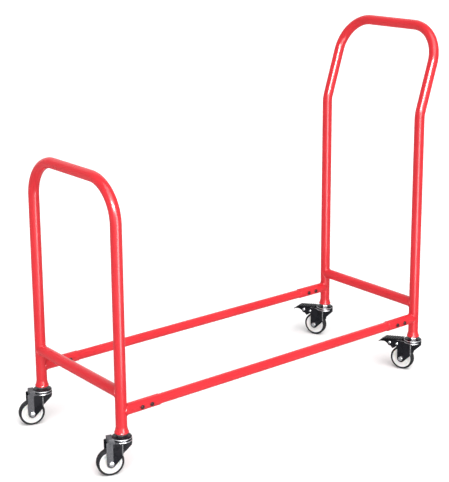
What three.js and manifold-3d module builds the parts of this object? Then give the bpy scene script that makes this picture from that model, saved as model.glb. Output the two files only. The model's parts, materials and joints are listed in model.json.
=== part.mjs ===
// Rolling tyre rack. Millimetres, +Z up, +X towards the push handle.
// The rack is built about the middle of its four legs on the floor, and moved at the end so that
// the origin is the middle of its whole footprint.
import * as THREE from 'three';
import { mergeVertices } from 'three/addons/utils/BufferGeometryUtils.js';
import Module from 'manifold-3d';

const wasm = await Module();
wasm.setup();

// ---- driving dimensions ----
const GAP = 0.3;                  // clearance between touching pieces
const TUBE_R = 16;                // legs, hoops, crossbars and sleeves: 32 mm tube
const TUBE_WALL = 1.6;
const RAIL_R = 14.3;              // tyre rails: 28.6 mm tube
const RAIL_WALL = 1.6;
const LEG_SPACING_X = 1144;       // leg axis to leg axis along the rack
const LEG_SPACING_Y = 418;        // leg axis to leg axis across the rack
const RAIL_Z = 180;
const CROSSBAR_Z = 231;
const LOW_HOOP_Z = 810;           // axis of the low hoop's top bar
const KINK_Z = 849;               // where the push handle leans out
const HANDLE_Z = 1115;            // axis of the handle's top bar
const HANDLE_LEAN = 86;           // how far the handle's top bar stands out
const CORNER_R = 112;             // bend radius of the hoops' corners
const KINK_R = 90;                // bend radius where the handle leans out
const SLEEVE_LENGTH = 125;        // leg axis to the sleeve's mouth
const RAIL_END = 20;              // leg axis to the rail's end, inside the sleeve
const BOLT_OFFSETS = [59, 91];    // leg axis to each rail bolt
const BOLT_R = 3;
const BOLT_HEAD_R = 5.6;
const BOLT_HEAD_T = 4;

const BOSS_BOTTOM = 117;
const BOSS_R = 20;
const BOSS_TOP = 130.7;           // the leg tube stands on this shoulder
const BOSS_PLUG_TOP = 153;
const STEM_R = 6;
const COLLAR_R = 14;              // the stem's hexagon, over its corners
const KINGPIN_HEAD_R = 9;
const KINGPIN_HEAD_T = 3.5;

const WHEEL_R = 38;
const TREAD_IN_R = 32;
const TREAD_W = 21;
const HUB_W = 26;
const HUB_R = 9;                  // the wheel core's hub, its thin web and the inside of its rim
const WEB_HALF_T = 5;
const RIM_IN_R = 27;
const AXLE_R = 4;
const AXLE_HEX_R = 7.5;           // axle bolt head and nut, over the corners
const TRAIL = 34;                 // swivel axis to axle
const FORK_IN = 14;               // half the gap between the fork's legs
const FORK_T = 2.5;
const CROWN_R = 29;
const CROWN_BOTTOM = 95;
const CROWN_TOP = 99;
const CAP_BOTTOM = 101.3;
const CAP_TOP = 110;
const RACE_R = [18, 25];          // inside and outside of the ball race
const AXLE_EYE_R = 13;
const FORK_REAR_X = -TRAIL - AXLE_EYE_R;
const FORK_FRONT_FOOT = [-5, 49]; // x, z where a fork leg starts to narrow towards the axle
const NOSE_HALF_W = 15;           // the fork's nose, in front of its legs
const NOSE_FOOT = [-2, 60];
const NOSE_TIP = [29, 90];
const GUARD_X = [-41, -15];       // the plain forks' guard block, behind the crown
const GUARD_TOP = 109;
const LOW_TURN = -20;             // where each pair of casters points, degrees about Z
const HANDLE_TURN = -68;

const PEDAL_PIN = [-49, 86];      // x, z in the caster's own frame
const PEDAL_PIN_R = 2.3;
const PIN_HEAD_R = 4;
const PIN_HEAD_T = 1.7;
const SHOE_PIN = [-75, 86.5];
const SHOE_PIN_R = 2.5;
const SHOE_HEAD_R = 4.8;
const SHOE_HEAD_T = 1.5;
const SHOE_CLEARANCE = 0.5;       // left between a pressed shoe and the tread
const PEDAL_TRAVEL = 7;           // degrees
const PEDAL_SHEET_T = 2.6;
const PEDAL_HALF_W = 16;
const FLANGE_IN = 11.5;
const FLANGE_T = 1.9;

const TUBE_SIDES = 16;
const WHEEL_SIDES = 24;
const SMALL_SIDES = 12;
const HOLE_SIDES = 8;

// ---- materials ----
const paint = new THREE.MeshStandardMaterial({ color: 0xd81f26, roughness: 0.25, metalness: 0 });
const zinc = new THREE.MeshStandardMaterial({ color: 0xd5d7da, roughness: 0.3, metalness: 1 });
const darkBolt = new THREE.MeshStandardMaterial({ color: 0x3a1a1c, roughness: 0.5, metalness: 0.6 });
const blackSteel = new THREE.MeshStandardMaterial({ color: 0x23252b, roughness: 0.4, metalness: 0.6 });
const blackRubber = new THREE.MeshStandardMaterial({ color: 0x17181a, roughness: 0.7, metalness: 0 });
const whiteNylon = new THREE.MeshStandardMaterial({ color: 0xf1f1ef, roughness: 0.45, metalness: 0 });

// ---- solids ----

// A closed geometry as a manifold solid: position only, shared vertices merged, no slivers.
function toSolid(geometry) {
  const bare = geometry.clone();
  bare.deleteAttribute('normal');
  bare.deleteAttribute('uv');
  const merged = mergeVertices(bare, 1e-4);
  const corners = merged.index.array;
  const kept = [];
  for (let i = 0; i < corners.length; i += 3) {
    const [a, b, c] = [corners[i], corners[i + 1], corners[i + 2]];
    if (a !== b && b !== c && c !== a) kept.push(a, b, c);
  }
  return new wasm.Manifold(new wasm.Mesh({
    numProp: 3,
    vertProperties: new Float32Array(merged.attributes.position.array),
    triVerts: new Uint32Array(kept),
  }));
}

function toGeometry(solid) {
  const mesh = solid.getMesh();
  const geometry = new THREE.BufferGeometry();
  geometry.setAttribute('position', new THREE.BufferAttribute(new Float32Array(mesh.vertProperties), 3));
  geometry.setIndex(new THREE.BufferAttribute(new Uint32Array(mesh.triVerts), 1));
  return geometry;
}

function join(first, ...others) {
  return others.reduce((sum, other) => sum.add(other), first);
}

function cut(first, ...others) {
  return others.reduce((rest, other) => rest.subtract(other), first);
}

// Radius of a polygon's corners when its flats must stand clear of a shaft of radius r.
function clear(r, sides) {
  return (r + GAP) / Math.cos(Math.PI / sides);
}

// A turned piece about Z. The profile is [radius, z] pairs, upwards along the outside.
function turned(profile, sides = TUBE_SIDES) {
  const points = profile.map(([r, z]) => new THREE.Vector2(r, z));
  return new THREE.LatheGeometry(points, sides, Math.PI / sides).rotateX(Math.PI / 2);
}

// A ring profile closes on its own first point.
function ring(profile, sides) {
  return turned([...profile, profile[0]], sides);
}

function rod(radius, low, high, sides = SMALL_SIDES) {
  return turned([[0, low], [radius, low], [radius, high], [0, high]], sides);
}

// Turns a piece made about Z so that its axis lies along X, or along Y.
function alongX(geometry) {
  return geometry.rotateY(Math.PI / 2);
}

function alongY(geometry) {
  return geometry.rotateX(-Math.PI / 2);
}

// A hexagon across its corners, standing on Z.
function hexagon(radius, low, high) {
  return rod(radius, low, high, 6);
}

function block(x0, x1, y0, y1, z0, z1) {
  const box = new THREE.BoxGeometry(x1 - x0, y1 - y0, z1 - z0);
  return box.translate((x0 + x1) / 2, (y0 + y1) / 2, (z0 + z1) / 2);
}

// A side-view shape in x and z, made solid from y0 to y1.
function sideways(shape, y0, y1) {
  const geometry = new THREE.ExtrudeGeometry(shape, { depth: y1 - y0, bevelEnabled: false, curveSegments: 6 });
  return geometry.rotateX(Math.PI / 2).translate(0, y1, 0);
}

function outline(points) {
  return new THREE.Shape(points.map(([x, z]) => new THREE.Vector2(x, z)));
}

function annulus(outer, inner, sides = TUBE_SIDES) {
  const circle = (r) => Array.from({ length: sides }, (_, i) => {
    const turn = (2 * Math.PI * i) / sides;
    return new THREE.Vector2(r * Math.cos(turn), r * Math.sin(turn));
  });
  const shape = new THREE.Shape(circle(outer));
  shape.holes.push(new THREE.Path(circle(inner).reverse()));
  return shape;
}

function straightTube(outer, inner, length) {
  return new THREE.ExtrudeGeometry(annulus(outer, inner), { depth: length, bevelEnabled: false, steps: 1 });
}

// ---- bent tube ----

// A run of straight stretches with round bends. Stations lie only where the tube needs them: at the
// two ends and round each bend.
class BentRun extends THREE.Curve {
  constructor(corners, radii, turnPerStation = 18) {
    super();
    this.stations = [];
    this.addStation(corners[0], corners[1].clone().sub(corners[0]).normalize());
    for (let i = 1; i < corners.length - 1; i += 1) {
      this.addBend(corners[i - 1], corners[i], corners[i + 1], radii[i - 1], turnPerStation);
    }
    const last = corners.length - 1;
    this.addStation(corners[last], corners[last].clone().sub(corners[last - 1]).normalize());
  }

  addStation(point, tangent) {
    this.stations.push({ point, tangent });
  }

  addBend(before, corner, after, radius, turnPerStation) {
    const into = corner.clone().sub(before).normalize();
    const out = after.clone().sub(corner).normalize();
    const angle = into.angleTo(out);
    const start = corner.clone().addScaledVector(into, -radius * Math.tan(angle / 2));
    const inward = out.clone().addScaledVector(into, -into.dot(out)).normalize();
    const steps = Math.ceil(THREE.MathUtils.radToDeg(angle) / turnPerStation);
    for (let k = 0; k <= steps; k += 1) {
      const turn = (angle * k) / steps;
      const point = start.clone()
        .addScaledVector(into, radius * Math.sin(turn))
        .addScaledVector(inward, radius * (1 - Math.cos(turn)));
      const tangent = into.clone().multiplyScalar(Math.cos(turn)).addScaledVector(inward, Math.sin(turn));
      this.addStation(point, tangent);
    }
  }

  station(u) {
    return this.stations[Math.round(u * (this.stations.length - 1))];
  }

  getPointAt(u) {
    return this.station(u).point.clone();
  }

  getTangentAt(u) {
    return this.station(u).tangent.clone();
  }

  getPoint(t) {
    return this.getPointAt(t);
  }

  getTangent(t) {
    return this.getTangentAt(t);
  }
}

function bentTube(corners, radii) {
  const run = new BentRun(corners.map(([x, y, z]) => new THREE.Vector3(x, y, z)), radii);
  return new THREE.ExtrudeGeometry(annulus(TUBE_R, TUBE_R - TUBE_WALL), {
    steps: run.stations.length - 1,
    bevelEnabled: false,
    extrudePath: run,
  });
}

// ---- frame pieces ----

const legX = LEG_SPACING_X / 2;
const legY = LEG_SPACING_Y / 2;
const legBottom = BOSS_TOP + GAP;

function lowHoop() {
  return bentTube([
    [-legX, -legY, legBottom],
    [-legX, -legY, LOW_HOOP_Z],
    [-legX, legY, LOW_HOOP_Z],
    [-legX, legY, legBottom],
  ], [CORNER_R, CORNER_R]);
}

function pushHandleHoop() {
  const topX = legX + HANDLE_LEAN;
  return bentTube([
    [legX, -legY, legBottom],
    [legX, -legY, KINK_Z],
    [topX, -legY, HANDLE_Z],
    [topX, legY, HANDLE_Z],
    [legX, legY, KINK_Z],
    [legX, legY, legBottom],
  ], [KINK_R, CORNER_R, CORNER_R, KINK_R]);
}

// A tool that leaves the shape of a leg at (x, y), with the usual gap.
function legTool(x, y) {
  return toSolid(rod(clear(TUBE_R, TUBE_SIDES), BOSS_TOP, KINK_Z, TUBE_SIDES).translate(x, y, 0));
}

function crossbar(x) {
  const bar = straightTube(TUBE_R, TUBE_R - TUBE_WALL, LEG_SPACING_Y);
  const placed = alongY(bar).translate(x, -legY, CROSSBAR_Z);
  return toGeometry(cut(toSolid(placed), legTool(x, -legY), legTool(x, legY)));
}

// side is -1 at the low hoop and +1 at the handle.
function boltHole(side, offset, y) {
  const hole = rod(clear(BOLT_R, HOLE_SIDES), -TUBE_R * 2, TUBE_R * 2, HOLE_SIDES);
  return toSolid(alongY(hole).translate(side * (legX - offset), y, RAIL_Z));
}

function railSleeve(side, y) {
  const tube = alongX(straightTube(TUBE_R, RAIL_R + GAP, SLEEVE_LENGTH));
  const start = side < 0 ? -legX : legX - SLEEVE_LENGTH;
  const placed = toSolid(tube.translate(start, y, RAIL_Z));
  return toGeometry(cut(placed, legTool(side * legX, y), ...BOLT_OFFSETS.map((o) => boltHole(side, o, y))));
}

function tyreRail(y) {
  const length = LEG_SPACING_X - 2 * RAIL_END;
  const tube = alongX(straightTube(RAIL_R, RAIL_R - RAIL_WALL, length)).translate(-length / 2, y, RAIL_Z);
  const holes = [-1, 1].flatMap((side) => BOLT_OFFSETS.map((o) => boltHole(side, o, y)));
  return toGeometry(cut(toSolid(tube), ...holes));
}

// A hexagon head, a shank and its nut, across a sleeve.
function railBolt(side, offset, y) {
  const outside = TUBE_R + GAP;
  const profile = join(
    toSolid(rod(BOLT_R, -outside - 1, outside + BOLT_HEAD_T + 2, HOLE_SIDES)),
    toSolid(hexagon(BOLT_HEAD_R, -outside - BOLT_HEAD_T, -outside)),
    toSolid(hexagon(BOLT_HEAD_R, outside, outside + BOLT_HEAD_T)),
  );
  return alongY(toGeometry(profile)).translate(side * (legX - offset), y, RAIL_Z);
}

function footBoss(x, y) {
  const plugR = (TUBE_R - TUBE_WALL) * Math.cos(Math.PI / TUBE_SIDES) - GAP;
  const hole = clear(STEM_R, TUBE_SIDES);
  return ring([
    [hole, BOSS_BOTTOM],
    [BOSS_R - 2, BOSS_BOTTOM],
    [BOSS_R, BOSS_BOTTOM + 2],
    [BOSS_R - 0.4, BOSS_BOTTOM + 4],
    [TUBE_R + 0.6, BOSS_TOP - 2.5],
    [TUBE_R, BOSS_TOP],
    [plugR, BOSS_TOP],
    [plugR, BOSS_PLUG_TOP],
    [hole, BOSS_PLUG_TOP],
  ], TUBE_SIDES).translate(x, y, 0);
}

// ---- caster pieces, each in the caster's own frame: swivel axis on Z, wheel trailing to -X ----

const forkOut = FORK_IN + FORK_T;

function casterStem() {
  const kingpinBottom = CROWN_BOTTOM - GAP;
  const stud = turned([
    [0, kingpinBottom - KINGPIN_HEAD_T],
    [KINGPIN_HEAD_R, kingpinBottom - KINGPIN_HEAD_T],
    [KINGPIN_HEAD_R, kingpinBottom],
    [STEM_R, kingpinBottom],
    [STEM_R, BOSS_PLUG_TOP - 3],
    [STEM_R - 1.5, BOSS_PLUG_TOP - 1],
    [0, BOSS_PLUG_TOP - 1],
  ], SMALL_SIDES);
  return toGeometry(join(toSolid(stud), toSolid(hexagon(COLLAR_R, CAP_TOP + GAP, BOSS_BOTTOM - GAP))));
}

function bearingCap() {
  const hole = clear(STEM_R, TUBE_SIDES);
  return ring([
    [hole, CAP_BOTTOM],
    [CROWN_R - 1, CAP_BOTTOM],
    [CROWN_R, CAP_BOTTOM + 1],
    [CROWN_R, CAP_BOTTOM + 4.5],
    [CROWN_R - 2, CAP_TOP - 2],
    [CROWN_R - 6, CAP_TOP],
    [hole, CAP_TOP],
  ], TUBE_SIDES);
}

function ballRace() {
  const [inner, outer] = RACE_R;
  return ring([
    [inner, CROWN_TOP + GAP],
    [outer, CROWN_TOP + GAP],
    [outer, CAP_BOTTOM - GAP],
    [inner, CAP_BOTTOM - GAP],
  ], TUBE_SIDES);
}

// One side plate of the fork, seen from the side. The braked fork has an ear for the pedal's pin.
function forkPlateShape(braked) {
  const [pinX, pinZ] = PEDAL_PIN;
  const ear = [
    [FORK_REAR_X, pinZ - 12],
    [pinX - 6.5, pinZ - 6],
    [pinX - 6.5, pinZ + 6],
    [pinX - 1.5, CROWN_TOP],
  ];
  const shape = outline([
    [FORK_REAR_X, WHEEL_R],
    ...(braked ? ear : [[FORK_REAR_X, CROWN_TOP]]),
    [0, CROWN_TOP],
    [0, FORK_FRONT_FOOT[1] + 7],
    FORK_FRONT_FOOT,
  ].reverse());
  shape.absarc(-TRAIL, WHEEL_R, AXLE_EYE_R, Math.PI, -Math.PI / 3.6, false);
  return shape;
}

// The hollow nose that closes the front of the fork under the crown, cut off along a slope.
function forkNose() {
  const [footX, footZ] = NOSE_FOOT;
  const [tipX, tipZ] = NOSE_TIP;
  const slope = toSolid(block(-20, 80, -40, 40, -90, 0)
    .rotateY(-Math.atan2(tipZ - footZ, tipX - footX)).translate(footX, 0, footZ));
  const outside = toSolid(rod(CROWN_R, footZ - 1, CROWN_TOP - 1, TUBE_SIDES))
    .intersect(toSolid(block(footX, CROWN_R + 1, -NOSE_HALF_W, NOSE_HALF_W, 0, CROWN_TOP)));
  const room = NOSE_HALF_W - FORK_T;
  const inside = toSolid(rod(CROWN_R - FORK_T, 0, CROWN_BOTTOM, TUBE_SIDES))
    .intersect(toSolid(block(footX - 1, CROWN_R, -room, room, 0, CROWN_BOTTOM)));
  return cut(outside, inside, slope);
}

function casterFork(braked) {
  const crown = toSolid(turned([
    [0, CROWN_BOTTOM],
    [CROWN_R, CROWN_BOTTOM],
    [CROWN_R, CROWN_TOP - 1.5],
    [CROWN_R - 1.5, CROWN_TOP],
    [0, CROWN_TOP],
  ], TUBE_SIDES));
  const plates = [-1, 1].map((side) => {
    const y = side * (FORK_IN + FORK_T / 2);
    return toSolid(sideways(forkPlateShape(braked), y - FORK_T / 2, y + FORK_T / 2));
  });
  const kingpinHole = toSolid(rod(clear(STEM_R, SMALL_SIDES), CROWN_BOTTOM - 1, CROWN_TOP + 1));
  const axleHole = toSolid(alongY(rod(clear(AXLE_R, HOLE_SIDES), -30, 30, HOLE_SIDES))
    .translate(-TRAIL, 0, WHEEL_R));
  let fork = cut(join(crown, forkNose(), ...plates), kingpinHole, axleHole);
  if (braked) {
    const pinHole = rod(clear(PEDAL_PIN_R, HOLE_SIDES), -30, 30, HOLE_SIDES);
    fork = cut(fork, toSolid(alongY(pinHole).translate(PEDAL_PIN[0], 0, PEDAL_PIN[1])));
  } else {
    // The plain fork closes over the wheel with a short stiffening block.
    const guard = block(GUARD_X[0], GUARD_X[1], -forkOut, forkOut, CROWN_BOTTOM - 1, GUARD_TOP);
    const capRoom = rod(clear(CROWN_R, TUBE_SIDES), CROWN_TOP, GUARD_TOP + 1, TUBE_SIDES);
    fork = cut(join(fork, toSolid(guard)), toSolid(capRoom));
  }
  return toGeometry(fork);
}

// Wheel pieces turn about Y. The corner radius is set so that a flat facet lies on the floor.
const facetScale = 1 / Math.cos(Math.PI / WHEEL_SIDES);

function wheelPiece(profile) {
  const scaled = profile.map(([r, y]) => new THREE.Vector2(r * facetScale, y));
  return new THREE.LatheGeometry([...scaled, scaled[0]], WHEEL_SIDES, Math.PI / WHEEL_SIDES)
    .translate(-TRAIL, 0, WHEEL_R);
}

function wheelTread() {
  const half = TREAD_W / 2;
  return wheelPiece([
    [TREAD_IN_R, -half],
    [WHEEL_R - 2, -half],
    [WHEEL_R, -half + 2.5],
    [WHEEL_R, half - 2.5],
    [WHEEL_R - 2, half],
    [TREAD_IN_R, half],
  ]);
}

function wheelCore() {
  const rim = TREAD_IN_R - GAP;
  const half = TREAD_W / 2 - 1;
  return wheelPiece([
    [AXLE_R + GAP, -HUB_W / 2],
    [HUB_R, -HUB_W / 2],
    [HUB_R + 1, -WEB_HALF_T - 1],
    [RIM_IN_R - 2, -WEB_HALF_T],
    [RIM_IN_R, -half],
    [rim, -half],
    [rim, half],
    [RIM_IN_R, half],
    [RIM_IN_R - 2, WEB_HALF_T],
    [HUB_R + 1, WEB_HALF_T + 1],
    [HUB_R, HUB_W / 2],
    [AXLE_R + GAP, HUB_W / 2],
  ]);
}

function axleBolt() {
  const bolt = join(
    toSolid(rod(AXLE_R, -forkOut - 2, forkOut + 9, HOLE_SIDES)),
    toSolid(hexagon(AXLE_HEX_R, -forkOut - GAP - 5, -forkOut - GAP)),
  );
  return alongY(toGeometry(bolt)).translate(-TRAIL, 0, WHEEL_R);
}

function axleNut() {
  const nut = cut(
    toSolid(hexagon(AXLE_HEX_R, forkOut + GAP, forkOut + GAP + 6.5)),
    toSolid(rod(clear(AXLE_R, HOLE_SIDES), 0, forkOut + 20, HOLE_SIDES)),
  );
  return alongY(toGeometry(nut)).translate(-TRAIL, 0, WHEEL_R);
}

// The pedal is a pressed channel: a top sheet that slopes back and turns down at its tip, and a
// flange down each side. The points are its side view.
function brakePedal() {
  const [pinX, pinZ] = PEDAL_PIN;
  const [shoeX, shoeZ] = SHOE_PIN;
  const sheetTop = [[-33, 104.5], [-97, 98], [-114, 85.5]];
  const sheetUnder = [[-112.3, 83.3], [-96, 98 - PEDAL_SHEET_T], [-33, 104.5 - PEDAL_SHEET_T]];
  const sheet = toSolid(sideways(outline([...sheetTop, ...sheetUnder]), -PEDAL_HALF_W, PEDAL_HALF_W));
  const flangeShape = outline([
    [-35, 103.5],
    [-96, 97],
    [-109, 87],
    [-91, 86.5],
    [shoeX - 7, shoeZ - 6],
    [shoeX - 4, shoeZ - 10],
    [shoeX + 1, shoeZ - 11.5],
    [shoeX + 7, shoeZ - 9],
    [shoeX + 13, shoeZ - 6],
    [pinX - 4, pinZ - 9],
    [pinX + 4, pinZ - 7],
    [pinX + 9, pinZ + 3],
    [-36, 93],
  ]);
  const flanges = [-1, 1].map((side) => {
    const y = side * (FLANGE_IN + FLANGE_T / 2);
    return toSolid(sideways(flangeShape, y - FLANGE_T / 2, y + FLANGE_T / 2));
  });
  const holes = [
    alongY(rod(clear(PEDAL_PIN_R, HOLE_SIDES), -30, 30, HOLE_SIDES)).translate(pinX, 0, pinZ),
    alongY(rod(clear(SHOE_PIN_R, HOLE_SIDES), -30, 30, HOLE_SIDES)).translate(shoeX, 0, shoeZ),
  ];
  return toGeometry(cut(join(sheet, ...flanges), ...holes.map(toSolid)));
}

function brakePin() {
  const pin = join(
    toSolid(rod(PEDAL_PIN_R, -forkOut - 1, forkOut + 1, HOLE_SIDES)),
    toSolid(rod(PIN_HEAD_R, -forkOut - GAP - PIN_HEAD_T, -forkOut - GAP, HOLE_SIDES)),
    toSolid(rod(PIN_HEAD_R, forkOut + GAP, forkOut + GAP + PIN_HEAD_T, HOLE_SIDES)),
  );
  return alongY(toGeometry(pin)).translate(PEDAL_PIN[0], 0, PEDAL_PIN[1]);
}

// The shoe hangs on its rivet between the pedal's flanges. Its face fits the tread when the pedal
// is down, so it is cut by a wheel turned back about the pedal's pin.
function brakeShoe() {
  const [pinX, pinZ] = PEDAL_PIN;
  const [shoeX, shoeZ] = SHOE_PIN;
  const back = THREE.MathUtils.degToRad(-PEDAL_TRAVEL);
  const fromPin = new THREE.Vector2(-TRAIL - pinX, WHEEL_R - pinZ).rotateAround(new THREE.Vector2(), back);
  const faceTool = alongY(rod((WHEEL_R + SHOE_CLEARANCE) * facetScale, -20, 20, WHEEL_SIDES))
    .translate(pinX + fromPin.x, 0, pinZ + fromPin.y);
  const half = FLANGE_IN - 0.7;
  const pad = sideways(outline([
    [-66, 94],
    [-80, 93],
    [-81, 84],
    [-71, 71],
    [-65, 65],
    [-57, 65],
    [-57, 80],
  ]), -half, half);
  const rivetEnd = FLANGE_IN + FLANGE_T + GAP;
  const rivet = alongY(rod(SHOE_PIN_R, -rivetEnd - 1, rivetEnd + 1, HOLE_SIDES)).translate(shoeX, 0, shoeZ);
  const heads = [-1, 1].map((side) => {
    const low = side < 0 ? -rivetEnd - SHOE_HEAD_T : rivetEnd;
    const head = rod(SHOE_HEAD_R, low, low + SHOE_HEAD_T, HOLE_SIDES);
    return toSolid(alongY(head).translate(shoeX, 0, shoeZ));
  });
  return toGeometry(join(cut(toSolid(pad), toSolid(faceTool)), toSolid(rivet), ...heads));
}

// ---- assembly ----

const rack = new THREE.Group();

function add(parent, name, geometry, material) {
  const mesh = new THREE.Mesh(geometry, material);
  mesh.name = name;
  parent.add(mesh);
}

function addCaster(corner, x, y, turn, braked) {
  const caster = new THREE.Group();
  caster.position.set(x, y, 0);
  caster.rotation.z = THREE.MathUtils.degToRad(turn);
  rack.add(caster);
  add(caster, `caster_stem_${corner}`, casterStem(), zinc);
  add(caster, `bearing_cap_${corner}`, bearingCap(), blackSteel);
  add(caster, `ball_race_${corner}`, ballRace(), zinc);
  add(caster, `caster_fork_${corner}`, casterFork(braked), blackSteel);
  add(caster, `wheel_core_${corner}`, wheelCore(), whiteNylon);
  add(caster, `wheel_tread_${corner}`, wheelTread(), blackRubber);
  add(caster, `axle_bolt_${corner}`, axleBolt(), zinc);
  add(caster, `axle_nut_${corner}`, axleNut(), zinc);
  if (!braked) return;
  add(caster, `brake_pedal_${corner}`, brakePedal(), blackSteel);
  add(caster, `brake_shoe_${corner}`, brakeShoe(), blackSteel);
  add(caster, `brake_pin_${corner}`, brakePin(), zinc);
}

add(rack, 'low_hoop', lowHoop(), paint);
add(rack, 'low_hoop_crossbar', crossbar(-legX), paint);
add(rack, 'push_handle_hoop', pushHandleHoop(), paint);
add(rack, 'push_handle_crossbar', crossbar(legX), paint);

for (const [hand, y] of [['left', -legY], ['right', legY]]) {
  add(rack, `tyre_rail_${hand}`, tyreRail(y), paint);
  for (const [end, side, turn] of [['low', -1, LOW_TURN], ['handle', 1, HANDLE_TURN]]) {
    const corner = `${end}_${hand}`;
    add(rack, `rail_sleeve_${corner}`, railSleeve(side, y), paint);
    add(rack, `foot_boss_${corner}`, footBoss(side * legX, y), paint);
    add(rack, `rail_bolt_${corner}_outer`, railBolt(side, BOLT_OFFSETS[0], y), darkBolt);
    add(rack, `rail_bolt_${corner}_inner`, railBolt(side, BOLT_OFFSETS[1], y), darkBolt);
    addCaster(corner, side * legX, y, turn, end === 'handle');
  }
}

// The origin is the middle of the footprint, on the floor.
rack.updateMatrixWorld(true);
const box = new THREE.Box3().setFromObject(rack, true);
const middle = box.getCenter(new THREE.Vector3());
rack.position.set(-middle.x, -middle.y, -box.min.z);

export default rack;
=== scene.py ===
import json
import math

import bpy
import bmesh
from mathutils import Matrix, Vector


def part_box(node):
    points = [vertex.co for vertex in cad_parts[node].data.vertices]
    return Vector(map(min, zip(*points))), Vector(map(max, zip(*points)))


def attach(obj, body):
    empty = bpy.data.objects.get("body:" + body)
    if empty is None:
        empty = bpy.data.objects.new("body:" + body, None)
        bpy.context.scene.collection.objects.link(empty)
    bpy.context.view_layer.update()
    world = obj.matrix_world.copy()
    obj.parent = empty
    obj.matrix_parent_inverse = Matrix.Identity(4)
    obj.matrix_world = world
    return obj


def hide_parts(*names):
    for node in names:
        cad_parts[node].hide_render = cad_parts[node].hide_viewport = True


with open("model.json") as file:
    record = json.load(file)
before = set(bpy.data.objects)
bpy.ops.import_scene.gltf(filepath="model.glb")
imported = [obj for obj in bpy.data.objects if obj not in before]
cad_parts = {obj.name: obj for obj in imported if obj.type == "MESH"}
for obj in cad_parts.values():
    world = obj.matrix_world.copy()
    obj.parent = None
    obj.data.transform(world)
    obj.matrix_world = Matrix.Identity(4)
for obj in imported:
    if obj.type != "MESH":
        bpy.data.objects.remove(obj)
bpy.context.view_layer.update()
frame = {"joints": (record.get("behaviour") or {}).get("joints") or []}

MM = 0.001
CORNERS = ("low_left", "low_right", "handle_left", "handle_right")

# The pieces are built in millimetres in a frame of their own and placed by a matrix.


# ---- where things are: legs and casters, from the joints ----

joints = {j["name"]: j for j in frame["joints"]}
legs = {}
caster_place = {}
for corner in CORNERS:
    x, y, _ = joints["swivel_" + corner]["pos_m"]
    axis = joints["wheel_spin_" + corner]["axis"]
    turn = math.atan2(-axis[0], axis[1])
    legs[corner] = Vector((x / MM, y / MM, 0))
    caster_place[corner] = Matrix.Translation(legs[corner]) @ Matrix.Rotation(turn, 4, "Z")

LOW_X = legs["low_left"].x
HANDLE_X = legs["handle_left"].x
LEFT_Y = legs["low_left"].y
RIGHT_Y = legs["low_right"].y


def node_box(node):
    low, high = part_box(node)
    return low / MM, high / MM


# ---- driving sizes, as the frame has them ----

TUBE_R = 16.0
TUBE_WALL = 1.6
RAIL_R = 14.3
LEG_BOTTOM = 131.0
LOW_HOOP_Z = 810.0
KINK_Z = 849.0
HANDLE_Z = 1115.0
HANDLE_LEAN = 86.0
CORNER_R = 112.0
KINK_R = 90.0
RAIL_Z = sum(p.z for p in node_box("tyre_rail_left")) / 2
CROSSBAR_Z = sum(p.z for p in node_box("low_hoop_crossbar")) / 2
SLEEVE_LENGTH = 125.0             # from the leg's axis, as are the next two
RAIL_END = 20.0
BOLT_OFFSETS = {"outer": 59.0, "inner": 91.0}
GAP = 0.3                         # between pieces that touch

WHEEL_R = 38.0
TRAIL = 34.0
AXLE_EYE_R = 13.0
FORK_IN = 14.0
FORK_T = 2.5
FORK_OUT = FORK_IN + FORK_T
CROWN_R = 28.6
CROWN_BOTTOM = 95.0
CROWN_TOP = 99.0
PEDAL_PIN = (-49.0, 86.0)
PEDAL_HALF_W = 16.0
SHOE_PIN = (-75.0, 86.5)
SHOE_CLEARANCE = 0.5              # between a pressed shoe and the tread
PEDAL_TRAVEL = 7.0

SIDES = 48                        # of every long tube
OVAL = 0.025                      # how much a bend flattens the tube
HOOP_TRIM = 0.04                  # keeps the hoops' paint inside the frame's own tubes
COPE_GAP = 0.15                   # between a leg and the end of a tube shaped to it
BEAD_R = 1.9
UP = Vector((0, 0, 1))


# ---- mesh building ----


class Shape:
    """Vertices and faces, gathered from the surfaces that one piece is made of."""

    def __init__(self):
        self.verts = []
        self.faces = []

    def ring(self, points):
        start = len(self.verts)
        self.verts.extend(Vector(p) for p in points)
        return list(range(start, start + len(points)))

    def bridge(self, low, high, closed=True):
        """Quads between two rings of the same count, or a fan where one ring is a point."""
        count = max(len(low), len(high))
        for k in range(count if closed else count - 1):
            n = (k + 1) % count
            if len(low) == 1:
                self.faces.append((low[0], high[n], high[k]))
            elif len(high) == 1:
                self.faces.append((low[k], low[n], high[0]))
            else:
                self.faces.append((low[k], low[n], high[n], high[k]))

    def cap(self, ring, flip=False):
        self.faces.append(tuple(reversed(ring)) if flip else tuple(ring))

    def moved(self, matrix):
        out = Shape()
        out.verts = [matrix @ v for v in self.verts]
        out.faces = list(self.faces)
        return out

    def __add__(self, other):
        out = Shape()
        out.verts = self.verts + other.verts
        shift = len(self.verts)
        out.faces = self.faces + [tuple(i + shift for i in f) for f in other.faces]
        return out


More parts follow.
